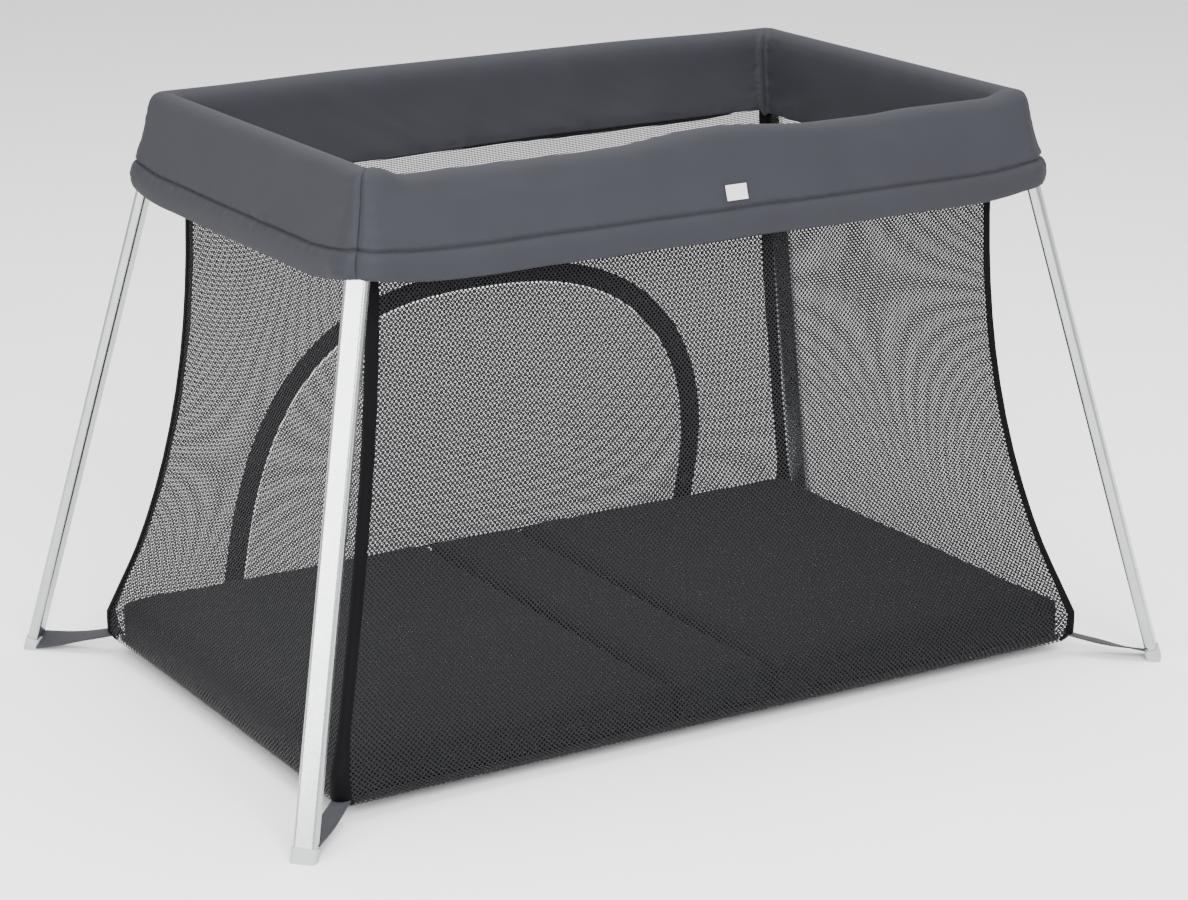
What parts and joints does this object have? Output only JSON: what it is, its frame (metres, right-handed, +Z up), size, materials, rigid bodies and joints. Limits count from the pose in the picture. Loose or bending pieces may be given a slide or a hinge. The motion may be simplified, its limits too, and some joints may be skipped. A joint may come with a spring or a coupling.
{
  "type": "travel playpen",
  "caption": "Travel playpen with splayed aluminium legs, padded slate rim, black mesh bag, arched zip door and folding mattress.",
  "frame": {"origin": "middle of the four feet, on the floor", "axes": "+X along the length to the right end, +Y to the rear side with the zip door, +Z up"},
  "size_m": [1.1208, 0.745, 0.659],
  "materials": {
    "tube": "satin",
    "fittings": "matte",
    "caps": "matte",
    "pins": "brushed",
    "cover": "woven",
    "mesh": "open mesh",
    "webbing": "webbing",
    "mattress": "padded",
    "label": "woven"
  },
  "bodies": {
    "root": {"rail_left": "tube", "rail_front_left": "tube", "rail_rear_left": "tube", "bracket_front_left": "fittings", "bracket_rear_left": "fittings", "leg_pin_front_left": "pins", "leg_pin_rear_left": "pins", "hinge_block_front_left": "fittings", "hinge_block_rear_left": "fittings", "fold_pin_front": "pins", "fold_pin_rear": "pins", "cover_left": "cover", "cover_front_left": "cover", "cover_rear_left": "cover", "mesh_front": "mesh", "mesh_rear": "mesh", "mesh_left": "mesh", "mesh_right": "mesh", "bindings_left": "webbing", "bindings_right": "webbing", "base": "webbing", "zip_tape": "webbing", "zip_slider": "pins", "mattress_left": "mattress", "mattress_middle": "mattress", "mattress_right": "mattress", "strap_front_left": "webbing", "strap_front_right": "webbing", "strap_rear_left": "webbing", "strap_rear_right": "webbing"},
    "right_half": {"rail_right": "tube", "rail_front_right": "tube", "rail_rear_right": "tube", "bracket_front_right": "fittings", "bracket_rear_right": "fittings", "leg_pin_front_right": "pins", "leg_pin_rear_right": "pins", "hinge_block_front_right": "fittings", "hinge_block_rear_right": "fittings", "cover_right": "cover", "cover_front_right": "cover", "cover_rear_right": "cover", "label": "label"},
    "leg_front_left": {"leg_head_front_left": "fittings", "leg_tube_front_left": "tube", "foot_cap_front_left": "caps"},
    "leg_front_right": {"leg_head_front_right": "fittings", "leg_tube_front_right": "tube", "foot_cap_front_right": "caps"},
    "leg_rear_left": {"leg_head_rear_left": "fittings", "leg_tube_rear_left": "tube", "foot_cap_rear_left": "caps"},
    "leg_rear_right": {"leg_head_rear_right": "fittings", "leg_tube_rear_right": "tube", "foot_cap_rear_right": "caps"},
    "fold_button_front_body": {"fold_button_front": "caps"},
    "fold_button_rear_body": {"fold_button_rear": "caps"},
    "door": {"door_panel": "mesh"},
    "pull": {"zip_pull": "pins"}
  },
  "joints": [
    {"name": "frame_fold", "type": "hinge", "parent": "root", "child": "right_half", "pos_m": [0, 0, 0.652], "axis": [0, -1, 0], "range_deg": [0, 176], "deforming": ["strap_front_right", "strap_rear_right"]},
    {"name": "leg_front_left_fold", "type": "hinge", "parent": "root", "child": "leg_front_left", "pos_m": [-0.40957, -0.24897, 0.613], "axis": [0, -0.9843, 0.1767], "range_deg": [0, 102.4], "deforming": ["strap_front_left"]},
    {"name": "leg_front_right_fold", "type": "hinge", "parent": "right_half", "child": "leg_front_right", "pos_m": [0.40957, -0.24897, 0.613], "axis": [0, 0.9843, -0.1767], "range_deg": [0, 91]},
    {"name": "leg_rear_left_fold", "type": "hinge", "parent": "root", "child": "leg_rear_left", "pos_m": [-0.40957, 0.24897, 0.613], "axis": [0, -0.9843, -0.1767], "range_deg": [0, 102.4], "deforming": ["strap_rear_left"]},
    {"name": "leg_rear_right_fold", "type": "hinge", "parent": "right_half", "child": "leg_rear_right", "pos_m": [0.40957, 0.24897, 0.613], "axis": [0, 0.9843, 0.1767], "range_deg": [0, 91]},
    {"name": "fold_button_front_press", "type": "slide", "parent": "root", "child": "fold_button_front_body", "axis": [0, -1, 0], "range_m": [0, 0.0025], "stiffness_N_per_m": 600, "springref_m": -0.002},
    {"name": "fold_button_rear_press", "type": "slide", "parent": "root", "child": "fold_button_rear_body", "axis": [0, 1, 0], "range_m": [0, 0.0025], "stiffness_N_per_m": 600, "springref_m": -0.002},
    {"name": "door_swing", "type": "hinge", "parent": "root", "child": "door", "pos_m": [0, 0.29248, 0.06], "axis": [-1, 0, 0], "range_deg": [0, 105]},
    {"name": "zip_pull_swing", "type": "hinge", "parent": "root", "child": "pull", "pos_m": [0.314, 0.28879, 0.08959], "axis": [1, 0, 0], "range_deg": [0, 150]}
  ]
}
